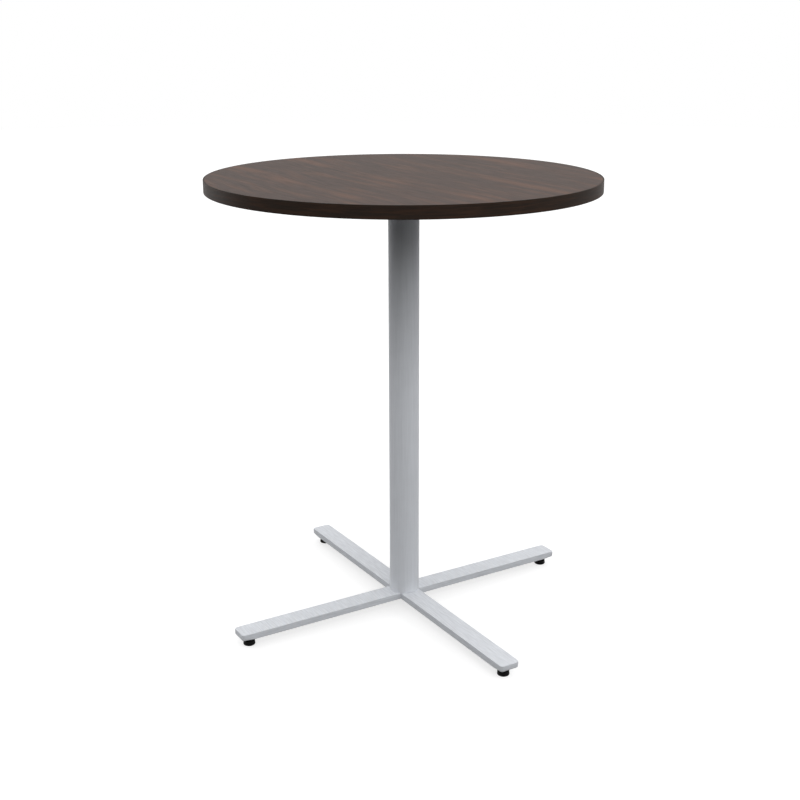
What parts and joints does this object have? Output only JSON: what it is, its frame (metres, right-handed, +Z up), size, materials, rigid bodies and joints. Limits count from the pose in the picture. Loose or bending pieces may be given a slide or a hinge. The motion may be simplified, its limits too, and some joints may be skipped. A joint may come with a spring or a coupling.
{
  "type": "high table",
  "caption": "Round laminate-topped high table on one round steel column, with a flat-bar cross base on levelling glides.",
  "frame": {"origin": "on the floor, under the middle of the column", "axes": "+Z up; the long bar of the base lies along Y, and the two welded arms along X"},
  "size_m": [0.9144, 0.9144, 1.0763],
  "materials": {
    "walnut_laminate": "dark walnut print under a satin melamine surface",
    "dark_brown_edging": "satin extruded plastic edge band, nearly black brown",
    "brown_backer": "matt phenolic backing sheet",
    "particleboard": "raw pressed chips",
    "silver_powder_coat": "fine satin silver powder coat on steel",
    "bare_steel": "turned steel, unpainted",
    "zinc_steel": "bright zinc plate",
    "black_nylon": "moulded black nylon"
  },
  "bodies": {
    "table": {"tabletop_core": "particleboard", "top_laminate": "walnut_laminate", "bottom_backer_sheet": "brown_backer", "edge_band": "dark_brown_edging", "mounting_plate": "silver_powder_coat", "plate_weld": "silver_powder_coat", "mounting_screw_1": "zinc_steel", "mounting_screw_2": "zinc_steel", "mounting_screw_3": "zinc_steel", "mounting_screw_4": "zinc_steel", "mounting_screw_5": "zinc_steel", "mounting_screw_6": "zinc_steel", "mounting_screw_7": "zinc_steel", "mounting_screw_8": "zinc_steel", "column_tube": "silver_powder_coat", "column_foot_disc": "bare_steel", "base_long_bar": "silver_powder_coat", "base_arm_left": "silver_powder_coat", "base_arm_right": "silver_powder_coat", "arm_weld_left": "silver_powder_coat", "arm_weld_right": "silver_powder_coat", "base_bolt_front": "zinc_steel", "base_bolt_back": "zinc_steel", "base_washer_front": "zinc_steel", "base_washer_back": "zinc_steel"},
    "pad_front": {"glide_pad_front": "black_nylon"},
    "stud_front": {"glide_stud_front": "zinc_steel"},
    "pad_back": {"glide_pad_back": "black_nylon"},
    "stud_back": {"glide_stud_back": "zinc_steel"},
    "pad_left": {"glide_pad_left": "black_nylon"},
    "stud_left": {"glide_stud_left": "zinc_steel"},
    "pad_right": {"glide_pad_right": "black_nylon"},
    "stud_right": {"glide_stud_right": "zinc_steel"}
  },
  "joints": [
    {"name": "glide_travel_front", "type": "slide", "parent": "table", "child": "pad_front", "axis": [0, 0, -1], "range_m": [-0.00423, 0.00423]},
    {"name": "stud_turn_front", "type": "hinge", "parent": "pad_front", "child": "stud_front", "pos_m": [0, -0.4302, 0.0222], "axis": [0, 0, -1], "range_deg": [-1080, 1080]},
    {"name": "glide_travel_back", "type": "slide", "parent": "table", "child": "pad_back", "axis": [0, 0, -1], "range_m": [-0.00423, 0.00423]},
    {"name": "stud_turn_back", "type": "hinge", "parent": "pad_back", "child": "stud_back", "pos_m": [0, 0.4302, 0.0222], "axis": [0, 0, -1], "range_deg": [-1080, 1080]},
    {"name": "glide_travel_left", "type": "slide", "parent": "table", "child": "pad_left", "axis": [0, 0, -1], "range_m": [-0.00423, 0.00423]},
    {"name": "stud_turn_left", "type": "hinge", "parent": "pad_left", "child": "stud_left", "pos_m": [-0.4302, 0, 0.0222], "axis": [0, 0, -1], "range_deg": [-1080, 1080]},
    {"name": "glide_travel_right", "type": "slide", "parent": "table", "child": "pad_right", "axis": [0, 0, -1], "range_m": [-0.00423, 0.00423]},
    {"name": "stud_turn_right", "type": "hinge", "parent": "pad_right", "child": "stud_right", "pos_m": [0.4302, 0, 0.0222], "axis": [0, 0, -1], "range_deg": [-1080, 1080]}
  ],
  "couplings": [
    {"joint": "glide_travel_front", "follows": "stud_turn_front", "m_per_rad": 0.00022459},
    {"joint": "glide_travel_back", "follows": "stud_turn_back", "m_per_rad": 0.00022459},
    {"joint": "glide_travel_left", "follows": "stud_turn_left", "m_per_rad": 0.00022459},
    {"joint": "glide_travel_right", "follows": "stud_turn_right", "m_per_rad": 0.00022459}
  ]
}
